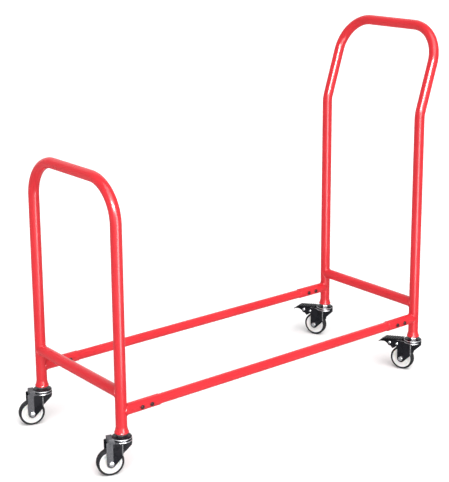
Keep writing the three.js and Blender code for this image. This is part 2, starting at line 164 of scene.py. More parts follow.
def filleted(corners, loop=True, steps=5):
    """Corners as (x, y) or (x, y, radius), with a round of that radius put on each."""
    out = []
    count = len(corners)
    for i, corner in enumerate(corners):
        p = Vector(corner[:2])
        radius = corner[2] if len(corner) > 2 else 0.0
        ends = not loop and i in (0, count - 1)
        if radius <= 0 or ends:
            out.append((p.x, p.y))
            continue
        a = Vector(corners[i - 1][:2]) - p
        b = Vector(corners[(i + 1) % count][:2]) - p
        angle = a.angle(b)
        if angle > math.pi - 0.02:
            out.append((p.x, p.y))
            continue
        reach = min(radius / math.tan(angle / 2), a.length * 0.49, b.length * 0.49)
        radius = reach * math.tan(angle / 2)
        u, v = a.normalized(), b.normalized()
        centre = p + (u + v).normalized() * (radius / math.sin(angle / 2))
        first = p + u * reach - centre
        last = p + v * reach - centre
        start = math.atan2(first.y, first.x)
        sweep = (math.atan2(last.y, last.x) - start + math.pi) % (2 * math.pi) - math.pi
        for k in range(steps + 1):
            t = start + sweep * k / steps
            out.append((centre.x + radius * math.cos(t), centre.y + radius * math.sin(t)))
    return out


def lathe(profile, steps=64, loop=False, wave=None):
    """A turned surface about Z. With loop the profile closes on itself."""
    shape = Shape()
    rows = []
    for r, z in profile:
        if r < 1e-6:
            rows.append(shape.ring([(0, 0, z)]))
            continue
        points = []
        for k in range(steps):
            t = 2 * math.pi * k / steps
            rr = wave(r, z, t) if wave else r
            points.append((rr * math.cos(t), rr * math.sin(t), z))
        rows.append(shape.ring(points))
    for low, high in zip(rows, rows[1:]):
        shape.bridge(low, high)
    if loop:
        shape.bridge(rows[-1], rows[0])
    return shape


def hex_turned(profile, across, steps=48):
    """A turned profile cut to a hexagon that measures `across` over its flats."""
    def wave(r, z, t):
        off = (t + math.pi / 6) % (math.pi / 3) - math.pi / 6
        return min(r, across / 2 / math.cos(off))
    return lathe(profile, steps, wave=wave)


def inset(outline, amount):
    """The outline moved inwards by amount. It runs anticlockwise."""
    count = len(outline)
    out = []
    for i in range(count):
        a, p, b = (Vector(outline[j % count]) for j in (i - 1, i, i + 1))
        u = (p - a).normalized() if (p - a).length > 1e-6 else (b - p).normalized()
        v = (b - p).normalized() if (b - p).length > 1e-6 else u
        n1, n2 = Vector((-u.y, u.x)), Vector((-v.y, v.x))
        n = (n1 + n2).normalized()
        out.append(tuple(p + n * (amount / max(0.5, n.dot(n1)))))
    return out


def area_of(outline):
    return sum(a[0] * b[1] - b[0] * a[1] for a, b in zip(outline, outline[1:] + outline[:1])) / 2


def prism(outline, y0, y1, bevel=0.5, steps=3):
    """A side-view outline in x and z, made solid from y0 to y1 with rounded rims."""
    if area_of(outline) < 0:
        outline = outline[::-1]
    shape = Shape()
    rims = []
    for k in range(steps + 1):
        t = math.pi / 2 * k / steps
        rims.append((bevel * (1 - math.sin(t)), bevel * (1 - math.cos(t))))
    rows = []
    for shrink, depth in rims:
        rows.append((shrink, y0 + depth))
    for shrink, depth in reversed(rims):
        rows.append((shrink, y1 - depth))
    rings = [shape.ring([(x, y, z) for x, z in inset(outline, shrink)]) for shrink, y in rows]
    for low, high in zip(rings, rings[1:]):
        shape.bridge(low, high)
    shape.cap(rings[0])
    shape.cap(rings[-1], flip=True)
    return shape


def block(x0, x1, y0, y1, z0, z1, bevel=0.6):
    return prism([(x0, z0), (x1, z0), (x1, z1), (x0, z1)], y0, y1, bevel)


def along_y(shape):
    return shape.moved(Matrix.Rotation(-math.pi / 2, 4, "X"))


def along_x(shape):
    return shape.moved(Matrix.Rotation(math.pi / 2, 4, "Y"))


def mesh_of(shape, name, matrix=Matrix.Identity(4)):
    mesh = bpy.data.meshes.new(name)
    place = Matrix.Scale(MM, 4) @ matrix
    mesh.from_pydata([place @ v for v in shape.verts], [], shape.faces)
    bm = bmesh.new()
    bm.from_mesh(mesh)
    bmesh.ops.remove_doubles(bm, verts=bm.verts, dist=1e-6)
    bmesh.ops.recalc_face_normals(bm, faces=bm.faces)
    bm.to_mesh(mesh)
    bm.free()
    return mesh


def smooth_by_angle(mesh, degrees):
    """Smooth shading, with the edges sharper than the angle kept crisp."""
    bm = bmesh.new()
    bm.from_mesh(mesh)
    limit = math.radians(degrees)
    for face in bm.faces:
        face.smooth = True
    for edge in bm.edges:
        edge.smooth = len(edge.link_faces) != 2 or edge.calc_face_angle(0) < limit
    bm.to_mesh(mesh)
    bm.free()


def combined(base, others, operation):
    """base with the other shapes joined to it or cut from it, as one clean solid."""
    first = bpy.data.objects.new("first", mesh_of(base, "first"))
    bpy.context.scene.collection.objects.link(first)
    tools = []
    for other in others:
        tool = bpy.data.objects.new("tool", mesh_of(other, "tool"))
        bpy.context.scene.collection.objects.link(tool)
        modifier = first.modifiers.new("combine", "BOOLEAN")
        modifier.operation = operation
        modifier.solver = "EXACT"
        modifier.object = tool
        tools.append(tool)
    bpy.context.view_layer.update()
    done = first.evaluated_get(bpy.context.evaluated_depsgraph_get()).to_mesh()
    out = Shape()
    out.verts = [v.co / MM for v in done.vertices]
    out.faces = [tuple(p.vertices) for p in done.polygons]
    for o in [first, *tools]:
        bpy.data.objects.remove(o)
    return out


def joined(base, *others):
    return combined(base, others, "UNION")


def cut(base, *others):
    return combined(base, others, "DIFFERENCE")


def piece(name, shape, material, body, replaces=(), matrix=Matrix.Identity(4), crisp=35, others=()):
    """One finished piece. others is [(material, test)]: faces that pass a test, given their middle and
    normal in the piece's own frame, have that material."""
    mesh = mesh_of(shape, name, matrix)
    smooth_by_angle(mesh, crisp)
    mesh.materials.append(material)
    back = (Matrix.Scale(MM, 4) @ matrix).inverted()
    turn_back = matrix.to_3x3().inverted()
    for index, (other, test) in enumerate(others, start=1):
        mesh.materials.append(other)
        for polygon in mesh.polygons:
            if test(back @ polygon.center, turn_back @ polygon.normal):
                polygon.material_index = index
    made = bpy.data.objects.new(name, mesh)
    bpy.context.scene.collection.objects.link(made)
    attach(made, body)
    if replaces:
        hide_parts(*replaces)
    return made


# ---- bent tube ----


def bent_run(corners, radii, step=3.0):
    """Stations along straight stretches and round bends: point, tangent, the bend's inward side, and
    how fully bent the tube is there (0 to 1)."""
    corners = [Vector(c) for c in corners]
    stations = [(corners[0], (corners[1] - corners[0]).normalized(), Vector((0, 0, 0)), 0.0)]
    for i, radius in enumerate(radii, start=1):
        into = (corners[i] - corners[i - 1]).normalized()
        out = (corners[i + 1] - corners[i]).normalized()
        angle = into.angle(out)
        start = corners[i] - into * radius * math.tan(angle / 2)
        inward = (out - into * into.dot(out)).normalized()
        steps = max(4, math.ceil(math.degrees(angle) / step))
        for k in range(steps + 1):
            t = angle * k / steps
            point = start + into * radius * math.sin(t) + inward * radius * (1 - math.cos(t))
            tangent = into * math.cos(t) + inward * math.sin(t)
            side = inward * math.cos(t) - into * math.sin(t)
            share = min(k, steps - k) / steps * 5
            stations.append((point, tangent, side, min(1.0, share)))
    stations.append((corners[-1], (corners[-1] - corners[-2]).normalized(), Vector((0, 0, 0)), 0.0))
    return stations


def swept(stations, radius, sides, first_axis):
    """Rings of a tube along the stations, flattened a little in the bends."""
    rings = []
    across = Vector(first_axis)
    before = None
    for point, tangent, side, bend in stations:
        if before is not None:
            across = before.rotation_difference(tangent) @ across
        across = (across - tangent * across.dot(tangent)).normalized()
        other = tangent.cross(across)
        ring = []
        for k in range(sides):
            t = 2 * math.pi * k / sides
            off = (across * math.cos(t) + other * math.sin(t)) * radius
            off = off - side * (off.dot(side) * OVAL * bend)
            ring.append(point + off)
        rings.append(ring)
        before = tangent
    return rings


def tube_shape(stations, outer, inner, first_axis):
    """A tube with its wall: outside, inside and flat ends."""
    shape = Shape()
    outside = [shape.ring(r) for r in swept(stations, outer, SIDES, first_axis)]
    inside = [shape.ring(r) for r in swept(stations, inner, SIDES, first_axis)]
    for low, high in zip(outside, outside[1:]):
        shape.bridge(low, high)
    for low, high in zip(inside, inside[1:]):
        shape.bridge(high, low)
    shape.bridge(inside[0], outside[0])
    shape.bridge(outside[-1], inside[-1])
    return shape


def hoop(corners, radii):
    return tube_shape(bent_run(corners, radii), TUBE_R - HOOP_TRIM, TUBE_R - TUBE_WALL, (1, 0, 0))


# ---- materials ----


def new_material(name):
    material = bpy.data.materials.new(name)
    material.use_nodes = True
    tree = material.node_tree
    tree.nodes.clear()
    out = tree.nodes.new("ShaderNodeOutputMaterial")
    shader = tree.nodes.new("ShaderNodeBsdfPrincipled")
    tree.links.new(shader.outputs["BSDF"], out.inputs["Surface"])
    return material, tree, shader


def noise(tree, scale, detail=3.0, roughness=0.5, stretch=None):
    coords = tree.nodes.new("ShaderNodeTexCoord")
    source = coords.outputs["Object"]
    if stretch:
        mapping = tree.nodes.new("ShaderNodeMapping")
        mapping.inputs["Scale"].default_value = stretch
        tree.links.new(source, mapping.inputs["Vector"])
        source = mapping.outputs["Vector"]
    node = tree.nodes.new("ShaderNodeTexNoise")
    node.inputs["Scale"].default_value = scale
    node.inputs["Detail"].default_value = detail
    node.inputs["Roughness"].default_value = roughness
    tree.links.new(source, node.inputs["Vector"])
    return node.outputs["Fac"]


def ramp(tree, source, stops):
    """A colour or grey value from a 0-1 source. stops is [(position, colour)]."""
    node = tree.nodes.new("ShaderNodeValToRGB")
    band = node.color_ramp
    while len(band.elements) < len(stops):
        band.elements.new(0.5)
    for element, (position, colour) in zip(band.elements, stops):
        element.position = position
        if isinstance(colour, (int, float)):
            colour = (colour, colour, colour)
        element.color = (*colour, 1.0)
    tree.links.new(source, node.inputs["Fac"])
    return node.outputs["Color"]


def blended(tree, factor, a, b, mode="MIX"):
    node = tree.nodes.new("ShaderNodeMix")
    node.data_type = "RGBA"
    node.blend_type = mode
    for socket, value in ((node.inputs[0], factor), (node.inputs[6], a), (node.inputs[7], b)):
        if hasattr(value, "is_output"):
            tree.links.new(value, socket)
        elif isinstance(value, (int, float)):
            socket.default_value = value
        else:
            socket.default_value = (*value, 1.0)
    return node.outputs[2]


def bumped(tree, shader, layers):
    """Bump layers, the coarsest first: (height, strength, distance in metres)."""
    normal = None
    for height, strength, distance in layers:
        node = tree.nodes.new("ShaderNodeBump")
        node.inputs["Strength"].default_value = strength
        node.inputs["Distance"].default_value = distance
        tree.links.new(height, node.inputs["Height"])
        if normal:
            tree.links.new(normal, node.inputs["Normal"])
        normal = node.outputs["Normal"]
    tree.links.new(normal, shader.inputs["Normal"])


def red_powder_coat():
    material, tree, shader = new_material("red_powder_coat")
    cloud = noise(tree, 9.0, 4.0)
    fine = noise(tree, 620.0, 2.0)
    scuff = noise(tree, 38.0, 8.0, 0.72)
    base = ramp(tree, cloud, [(0.30, (0.575, 0.018, 0.026)), (0.70, (0.635, 0.022, 0.031))])
    worn = ramp(tree, scuff, [(0.66, 0.0), (0.72, 1.0)])
    colour = blended(tree, worn, base, (0.50, 0.020, 0.028))
    tree.links.new(colour, shader.inputs["Base Color"])
    gloss = ramp(tree, cloud, [(0.30, 0.19), (0.70, 0.25)])
    rough = blended(tree, worn, gloss, (0.50, 0.50, 0.50))
    tree.links.new(rough, shader.inputs["Roughness"])
    shader.inputs["IOR"].default_value = 1.46
    bumped(tree, shader, [(cloud, 0.10, 0.0010), (fine, 0.16, 0.00010)])
    return material


def black_steel():
    material, tree, shader = new_material("black_steel")
    cloud = noise(tree, 60.0, 4.0)
    grain = noise(tree, 1400.0, 3.0, 0.6)
    rub = noise(tree, 190.0, 7.0, 0.7)
    base = ramp(tree, cloud, [(0.30, (0.0035, 0.0037, 0.0060)), (0.70, (0.0075, 0.0078, 0.0120))])
    worn = ramp(tree, rub, [(0.64, 0.0), (0.76, 1.0)])
    colour = blended(tree, worn, base, (0.040, 0.041, 0.047))
    tree.links.new(colour, shader.inputs["Base Color"])
    tree.links.new(ramp(tree, cloud, [(0.3, 0.22), (0.7, 0.34)]), shader.inputs["Roughness"])
    shader.inputs["Specular IOR Level"].default_value = 0.24
    bumped(tree, shader, [(cloud, 0.12, 0.0006), (grain, 0.20, 0.00008)])
    return material


def grained_sheen_steel():
    material, tree, shader = new_material("grained_sheen_steel")
    cloud = noise(tree, 80.0, 3.0)
    grain = noise(tree, 620.0, 2.0, 0.6)
    # A lighter grey than the black steel, speckled by the grain: a painted sheen where the fork's rear
    # catches light.
    base = ramp(tree, grain, [(0.34, (0.024, 0.025, 0.031)), (0.66, (0.110, 0.112, 0.124))])
    tree.links.new(base, shader.inputs["Base Color"])
    tree.links.new(ramp(tree, cloud, [(0.3, 0.42), (0.7, 0.55)]), shader.inputs["Roughness"])
    shader.inputs["Specular IOR Level"].default_value = 0.35
    bumped(tree, shader, [(grain, 0.55, 0.00030)])
    return material


# A mottled steel, used for painted highlight lines and painted sheen on the black parts' edges.
def highlight_steel(name, dark, light, metallic):
    material, tree, shader = new_material(name)
    cloud = noise(tree, 240.0, 5.0, 0.65)
    base = ramp(tree, cloud, [(0.34, (dark, dark, dark * 1.06)), (0.62, (light, light, light * 1.04))])
    tree.links.new(base, shader.inputs["Base Color"])
    tree.links.new(ramp(tree, cloud, [(0.3, 0.24), (0.7, 0.40)]), shader.inputs["Roughness"])
    shader.inputs["Metallic"].default_value = metallic
    bumped(tree, shader, [(cloud, 0.2, 0.0001)])
    return material


def rubber():
    material, tree, shader = new_material("tread_rubber")
    cloud = noise(tree, 55.0, 4.0)
    grain = noise(tree, 1100.0, 3.0, 0.6)
    dust = noise(tree, 160.0, 6.0, 0.65)
    base = ramp(tree, cloud, [(0.30, (0.007, 0.007, 0.009)), (0.70, (0.014, 0.014, 0.017))])
    dusty = ramp(tree, dust, [(0.58, 0.0), (0.78, 0.55)])
    tree.links.new(blended(tree, dusty, base, (0.045, 0.044, 0.043)), shader.inputs["Base Color"])
    shader.inputs["Specular IOR Level"].default_value = 0.22
    tree.links.new(ramp(tree, dust, [(0.35, 0.50), (0.75, 0.78)]), shader.inputs["Roughness"])
    bumped(tree, shader, [(dust, 0.15, 0.0004), (grain, 0.30, 0.00010)])
    return material


def nylon():
    material, tree, shader = new_material("white_nylon")
    cloud = noise(tree, 45.0, 4.0)
    grain = noise(tree, 700.0, 2.0)
    base = ramp(tree, cloud, [(0.30, (0.70, 0.70, 0.69)), (0.70, (0.77, 0.77, 0.765))])
    tree.links.new(base, shader.inputs["Base Color"])
    tree.links.new(ramp(tree, cloud, [(0.3, 0.34), (0.7, 0.46)]), shader.inputs["Roughness"])
    shader.inputs["Subsurface Weight"].default_value = 0.12
    shader.inputs["Subsurface Scale"].default_value = 0.002
    bumped(tree, shader, [(cloud, 0.08, 0.0004), (grain, 0.14, 0.00008)])
    return material


def zinc_plate():
    material, tree, shader = new_material("zinc_plate")
    cloud = noise(tree, 120.0, 4.0)
    drawn = noise(tree, 420.0, 3.0, 0.6, stretch=(1.0, 1.0, 7.0))
    base = ramp(tree, cloud, [(0.30, (0.60, 0.61, 0.63)), (0.70, (0.76, 0.77, 0.79))])
    tree.links.new(base, shader.inputs["Base Color"])
    tree.links.new(ramp(tree, drawn, [(0.3, 0.20), (0.7, 0.36)]), shader.inputs["Roughness"])
    shader.inputs["Metallic"].default_value = 1.0
    bumped(tree, shader, [(drawn, 0.18, 0.00008)])
    return material


def dark_bolt():
    material, tree, shader = new_material("dark_bolt")
    cloud = noise(tree, 260.0, 4.0)
    base = ramp(tree, cloud, [(0.30, (0.030, 0.010, 0.012)), (0.72, (0.075, 0.026, 0.028))])
    tree.links.new(base, shader.inputs["Base Color"])
    tree.links.new(ramp(tree, cloud, [(0.3, 0.30), (0.7, 0.48)]), shader.inputs["Roughness"])
    shader.inputs["Metallic"].default_value = 0.55
    bumped(tree, shader, [(cloud, 0.2, 0.00015)])
    return material


RED = red_powder_coat()
BLACK = black_steel()
GRAIN_SHEEN = grained_sheen_steel()
# Painted highlight lines and a painted sheen strip for the black fork and cap edges.
HIGHLIGHT_EDGE = highlight_steel("painted_highlight_edge", 0.42, 0.80, 0.9)
LIP_SHEEN = highlight_steel("painted_lip_sheen", 0.10, 0.26, 0.35)
RUBBER = rubber()
NYLON = nylon()
ZINC = zinc_plate()
BOLT = dark_bolt()


# ---- frame: hoops, crossbars, rails and sleeves ----

piece("low_bent_hoop", hoop([
    (LOW_X, LEFT_Y, LEG_BOTTOM),
    (LOW_X, LEFT_Y, LOW_HOOP_Z),
    (LOW_X, RIGHT_Y, LOW_HOOP_Z),
    (LOW_X, RIGHT_Y, LEG_BOTTOM),
], [CORNER_R, CORNER_R]), RED, "frame", ["low_hoop"])

TOP_X = HANDLE_X + HANDLE_LEAN
piece("handle_bent_hoop", hoop([
    (HANDLE_X, LEFT_Y, LEG_BOTTOM),
    (HANDLE_X, LEFT_Y, KINK_Z),
    (TOP_X, LEFT_Y, HANDLE_Z),
    (TOP_X, RIGHT_Y, HANDLE_Z),
    (HANDLE_X, RIGHT_Y, KINK_Z),
    (HANDLE_X, RIGHT_Y, LEG_BOTTOM),
], [KINK_R, CORNER_R, CORNER_R, KINK_R]), RED, "frame", ["push_handle_hoop"])


def cope(radius, t, leg_r):
    """How far short of the leg's axis a coped tube stops, at the angle t round it."""
    return math.sqrt(max(0.0, leg_r ** 2 - (radius * math.sin(t)) ** 2))


def crossbar_shape(x):
    """A tube across the rack whose ends are shaped to the legs."""
    shape = Shape()
    skins = []
    for radius in (TUBE_R, TUBE_R - TUBE_WALL):
        rings = []
        for y, way in ((LEFT_Y, 1), (RIGHT_Y, -1)):
            points = []
            for k in range(SIDES):
                t = 2 * math.pi * k / SIDES
                stop = cope(radius, t, TUBE_R + COPE_GAP)
                points.append((x + radius * math.sin(t), y + way * stop, CROSSBAR_Z + radius * math.cos(t)))
            rings.append(shape.ring(points))
        skins.append(rings)
    outside, inside = skins
    shape.bridge(outside[0], outside[1])
    shape.bridge(inside[1], inside[0])
    shape.bridge(inside[0], outside[0])
    shape.bridge(outside[1], inside[1])
    return shape


def sleeve_shape(side, leg):
    """A short tube on the leg, coped at the leg and rounded at its mouth."""
    shape = Shape()
    inner = RAIL_R + GAP
    leg_end = {}
    for radius in (TUBE_R, inner):
        points = []
        for k in range(SIDES):
            t = 2 * math.pi * k / SIDES
            stop = cope(radius, t, TUBE_R + COPE_GAP)
            points.append((leg.x - side * stop, leg.y + radius * math.sin(t), RAIL_Z + radius * math.cos(t)))
        leg_end[radius] = shape.ring(points)
    rings = [leg_end[TUBE_R]]
    mouth = [(TUBE_R, 1.2), (TUBE_R - 0.12, 0.7), (TUBE_R - 0.45, 0.25), (TUBE_R - 0.8, 0.0), (inner, 0.0)]
    for radius, back in mouth:
        points = []
        for k in range(SIDES):
            t = 2 * math.pi * k / SIDES
            x = leg.x - side * (SLEEVE_LENGTH - back)
            points.append((x, leg.y + radius * math.sin(t), RAIL_Z + radius * math.cos(t)))
        rings.append(shape.ring(points))
    rings.append(leg_end[inner])
    for low, high in zip(rings, rings[1:]):
        shape.bridge(low, high)
    shape.bridge(rings[-1], rings[0])
    return shape


def weld_bead(centre, along, up, radius, seed):
    """A rippled bead round the end of a tube that meets a leg. along points from the leg's axis out
    along the tube."""
    side = up.cross(along)
    shape = Shape()
    rings = []
    count = 120
    for k in range(count):
        t = 2 * math.pi * k / count
        stop = cope(radius, t, TUBE_R + 0.55)
        out = side * math.sin(t) + up * math.cos(t)
        point = centre + along * (stop + 0.1) + out * (radius - 0.1)
        ripple = 1 + 0.10 * math.sin(38 * t + seed) + 0.05 * math.sin(7 * t + 2 * seed)
        size = BEAD_R * ripple
        ring = []
        for n in range(10):
            a = 2 * math.pi * n / 10
            ring.append(point + (out * math.cos(a) + along * math.sin(a)) * size)
        rings.append(shape.ring(ring))
    for low, high in zip(rings, rings[1:] + rings[:1]):
        shape.bridge(low, high)
    return shape


for end, x in (("low", LOW_X), ("handle", HANDLE_X)):
    cad = "low_hoop_crossbar" if end == "low" else "push_handle_crossbar"
    piece(end + "_crossbar_tube", crossbar_shape(x), RED, "frame", [cad])
    for hand, y, way in (("left", LEFT_Y, 1), ("right", RIGHT_Y, -1)):
        bead = weld_bead(Vector((x, y, CROSSBAR_Z)), Vector((0, way, 0)), UP, TUBE_R, y)
        piece(f"crossbar_weld_{end}_{hand}", bead, RED, "frame")

for hand, y in (("left", LEFT_Y), ("right", RIGHT_Y)):
    run = [
        (Vector((LOW_X + RAIL_END, y, RAIL_Z)), Vector((1, 0, 0)), Vector((0, 0, 0)), 0.0),
        (Vector((HANDLE_X - RAIL_END, y, RAIL_Z)), Vector((1, 0, 0)), Vector((0, 0, 0)), 0.0),
    ]
    rail = tube_shape(run, RAIL_R, RAIL_R - TUBE_WALL, (0, 0, 1))
    piece("rail_tube_" + hand, rail, RED, "frame", ["tyre_rail_" + hand])


def rail_bolt_shape():
    """A chamfered hexagon head and washer, the shank, and a nut with the thread's end, along Y."""
    face = TUBE_R + GAP
    washer = 0.9
    across_flats = 9.7
    head = filleted([(0, -face - 4.0), (4.5, -face - 4.0, 0.4), (5.6, -face - 3.4), (5.6, -face - washer),
                     (0, -face - washer)], loop=False)
    nut = filleted([(0, face + washer), (5.6, face + washer), (5.6, face + 3.4), (4.5, face + 4.0, 0.4),
                    (0, face + 4.0)], loop=False)
    washers = Shape()
    for z in (-face - washer, face):
        ring = filleted([(0, z), (6.0, z, 0.3), (6.0, z + washer, 0.3), (0, z + washer)], loop=False)
        washers = washers + lathe(ring, 32)
    shank = lathe(filleted([
        (0, -face), (3.0, -face), (3.0, face + 5.4, 0.5), (0, face + 6.0),
    ], loop=False), 24)
    return along_y(joined(shank, washers, hex_turned(head, across_flats), hex_turned(nut, across_flats)))


BOLT_SHAPE = rail_bolt_shape()


# ---- foot bosses, sleeves, bolts at each corner ----

BOSS = filleted([
    (6.5, 117.0),
    (18.4, 117.0, 0.6),
    (20.0, 118.4, 0.9),
    (20.0, 120.4, 0.9),
    (19.0, 122.0, 1.5),
    (17.2, 128.6, 6.0),
    (16.35, 132.2, 2.0),
    (16.05, 134.4, 0.1),
    (14.0, 134.4),
    (14.0, 153.0, 0.5),
    (6.5, 153.0),
])

for corner in CORNERS:
    leg = legs[corner]
    side = -1 if corner.startswith("low") else 1
    piece("foot_flare_" + corner, lathe(BOSS, 64, loop=True), RED, "frame",
          ["foot_boss_" + corner], Matrix.Translation(leg), crisp=50)
    piece("sleeve_tube_" + corner, sleeve_shape(side, leg), RED, "frame",
          ["rail_sleeve_" + corner])
    bead = weld_bead(Vector((leg.x, leg.y, RAIL_Z)), Vector((-side, 0, 0)), UP, TUBE_R, leg.x + leg.y)
    piece("sleeve_weld_" + corner, bead, RED, "frame")
    for place, offset in BOLT_OFFSETS.items():
        at = Matrix.Translation((leg.x - side * offset, leg.y, RAIL_Z))
        turn = Matrix.Rotation(0.4 + offset, 4, "Y")
        piece(f"bolt_{corner}_{place}", BOLT_SHAPE, BOLT, "frame",
              [f"rail_bolt_{corner}_{place}"], at @ turn, crisp=30)


# ---- casters ----


def stem_shape():
    """The stem's shank with its riveted head under the crown, and the hexagon collar above the cap."""
    stud = lathe(filleted([
        (0, 91.2), (8.4, 91.2, 0.6), (9, 92.0), (9, 94.7),
        (6, 94.7), (6, 149.5), (4.6, 152.0, 0.5), (0, 152.0),
    ], loop=False), 32)
    collar = hex_turned([
        (0, 110.3), (12.0, 110.3), (13.2, 110.7), (14.0, 111.2),
        (14.0, 115.8), (13.2, 116.3), (12.0, 116.7), (0, 116.7),
    ], 24.4)
    return joined(stud, collar)


def cap_shape():
    """The upper bearing cap: a pressed dish with a step near its edge."""
    return lathe(filleted([
        (6.4, 101.3), (27.6, 101.3, 0.5), (28.6, 102.4, 0.6), (28.6, 105.6, 0.7), (27.6, 106.5, 0.3),
        (27.0, 107.8, 0.8), (23.0, 109.8, 2.0), (14.0, 110.0, 0.5), (6.4, 110.0),
    ]), 72, loop=True)


def race_shape():
    return lathe(filleted([
        (18, 99.3), (25, 99.3, 0.3), (25, 99.9, 0.1), (24.2, 100.15, 0.1),
        (25, 100.4, 0.1), (25, 101.0, 0.3), (18, 101.0),
    ], steps=2), 64, loop=True)


def hole_along_y(radius, x, z, steps=32):
    """A drill through the whole caster, at x and z in its side view."""
    tool = along_y(lathe([(0, -30), (radius, -30), (radius, 30), (0, 30)], steps))
    return tool.moved(Matrix.Translation((x, 0, z)))


def creased(shape, x_from, x_to, slope):
    """The shape with its part beyond x_from leaned towards the middle plane, through a soft bend."""
    bm = bmesh.new()
    bm.from_mesh(mesh_of(shape, "creased"))
    bm.transform(Matrix.Scale(1 / MM, 4))
    for k in range(5):
        x = x_from + (x_to - x_from) * k / 4
        geometry = list(bm.verts) + list(bm.edges) + list(bm.faces)
        bmesh.ops.bisect_plane(bm, geom=geometry, plane_co=(x, 0, 0), plane_no=(1, 0, 0), dist=1e-4)
    for v in bm.verts:
        t = min(max((v.co.x - x_from) / (x_to - x_from), 0.0), 1.0)
        lean = slope * ((x_to - x_from) * t * t / 2 + max(0.0, v.co.x - x_to))
        v.co.y -= math.copysign(lean, v.co.y)
    out = Shape()
    out.verts = [v.co.copy() for v in bm.verts]
    bm.verts.index_update()
    out.faces = [tuple(v.index for v in f.verts) for f in bm.faces]
    bm.free()
    return out


def fork_outline(braked):
    """One side plate of the fork, from the side: down from the crown and back to the axle's eye."""
    rear = -TRAIL - AXLE_EYE_R
    corners = [(-5, 49, 8.0), (0, 56, 5.0), (0, CROWN_TOP, 3.0)]
    if braked:
        x, z = PEDAL_PIN
        corners += [(x - 1.5, CROWN_TOP, 3.0), (x - 6.5, z + 6, 4.0),
                    (x - 6.5, z - 6, 4.0), (rear, z - 12, 3.0)]
    else:
        corners += [(rear, CROWN_TOP, 3.0)]
    eye_steps = 16
    for k in range(eye_steps + 1):
        t = math.pi + (math.pi - math.pi / 3.6) * k / eye_steps
        corners.append((-TRAIL + AXLE_EYE_R * math.cos(t), WHEEL_R + AXLE_EYE_R * math.sin(t)))
    return filleted(corners)


def fork_nose():
    """The hollow nose that closes the front of the fork under the crown, cut off along a slope."""
    outside = combined(lathe([(0, 58), (CROWN_R - 0.4, 58), (CROWN_R - 0.4, 97), (0, 97)], 72),
                       [block(-2, 40, -15, 15, 0, 98, 1.4)], "INTERSECT")
    inside = combined(lathe([(0, 0), (26.5, 0), (26.5, CROWN_BOTTOM), (0, CROWN_BOTTOM)], 72),
                      [block(-3, 40, -12.5, 12.5, -1, CROWN_BOTTOM + 1, 0.2)], "INTERSECT")
    slope = block(-20, 80, -40, 40, -90, 0, 0.1).moved(
        Matrix.Translation((-2, 0, 60)) @ Matrix.Rotation(-math.atan2(30, 31), 4, "Y"))
    return cut(outside, inside, slope)


def fork_shape(braked):
    crown = lathe(filleted([
        (0, CROWN_BOTTOM), (CROWN_R, CROWN_BOTTOM, 0.8), (CROWN_R, CROWN_TOP, 1.8), (0, CROWN_TOP),
    ], loop=False), 72)
    outline = fork_outline(braked)
    plates = [creased(prism(outline, y - FORK_T / 2, y + FORK_T / 2, 1.0), -31, -26, 0.03)
              for y in (-FORK_IN - FORK_T / 2, FORK_IN + FORK_T / 2)]
    # A pressed lip stands along the front of each plate.
    lips = [block(-3.3, -0.9, y - 0.6, y + 0.6, 57.3, 93.4, 0.35) for y in (0.8 - FORK_OUT, FORK_OUT - 0.8)]
    solids = [fork_nose(), *plates, *lips]
    if not braked:
        guard = block(-41, -15, -FORK_OUT - 0.25, FORK_OUT + 0.25, 93, 109, 1.8)
        room = lathe([(0, CROWN_TOP - 0.7), (29.3, CROWN_TOP - 0.7), (29.3, 112), (0, 112)], 72)
        solids.append(cut(guard, room))
    holes = [
        lathe([(0, 90), (6.3, 90), (6.3, 104), (0, 104)], 32),
        hole_along_y(4.3, -TRAIL, WHEEL_R),
    ]
    if braked:
        holes.append(hole_along_y(2.6, *PEDAL_PIN))
    return cut(joined(crown, *solids), *holes)


def wheel_matrix():
    return Matrix.Translation((-TRAIL, 0, WHEEL_R)) @ Matrix.Rotation(-math.pi / 2, 4, "X")


def core_shape():
    """The moulded core: hub, recessed web with a groove round it, and rim, turned about Z."""
    half = [
        (4.3, 0), (4.3, 13.0), (8.2, 13.0, 0.8), (9.4, 12.2, 0.6), (10.4, 6.6, 1.2), (17.4, 5.6, 1.0),
        (18.4, 4.3, 0.4), (20.6, 4.3, 0.4), (21.6, 5.6, 0.4), (25.2, 5.6, 1.4),
        (26.6, 9.0, 1.0), (31.5, 9.4, 0.6), (31.5, 0),
    ]
    upper = filleted(half, loop=False, steps=3)
    lower = [(r, -z) for r, z in reversed(upper)]
    return lathe((upper + lower[1:-1])[::-1], 72, loop=True)


def tread_shape():
    """The rubber tyre of the wheel, with three fine grooves round its running face."""
    half = [(32.0, 0), (32.0, 10.3), (33.0, 10.5, 0.4), (35.6, 10.5, 0.8), (38.0, 7.6, 2.4), (38.0, 0)]
    grooved = [(38.0, 4.4), (37.5, 4.1), (37.5, 3.9), (38.0, 3.6), (38.0, 0.4), (37.5, 0.2)]
    upper = filleted(half, loop=False, steps=5)[:-1] + grooved
    lower = [(r, -z) for r, z in reversed(upper)]
    return lathe((upper + lower[:-1])[::-1], 96, loop=True)


AXLE_HEX_FLATS = 13.0


def axle_bolt_shape():
    face = FORK_OUT + GAP
    shank = lathe(filleted([
        (0, -face - 1), (4.0, -face - 1), (4.0, face + 7.6, 0.4), (3.4, face + 8.4, 0.3), (0, face + 8.4),
    ], loop=False), 32)
    head = hex_turned([
        (0, -face - 5.0), (5.6, -face - 5.0), (6.6, -face - 4.6), (7.5, -face - 4.1),
        (7.5, -face - 1.0), (7.0, -face - 1.0), (7.0, -face), (0, -face),
    ], AXLE_HEX_FLATS)
    return along_y(joined(shank, head)).moved(Matrix.Translation((-TRAIL, 0, WHEEL_R)))


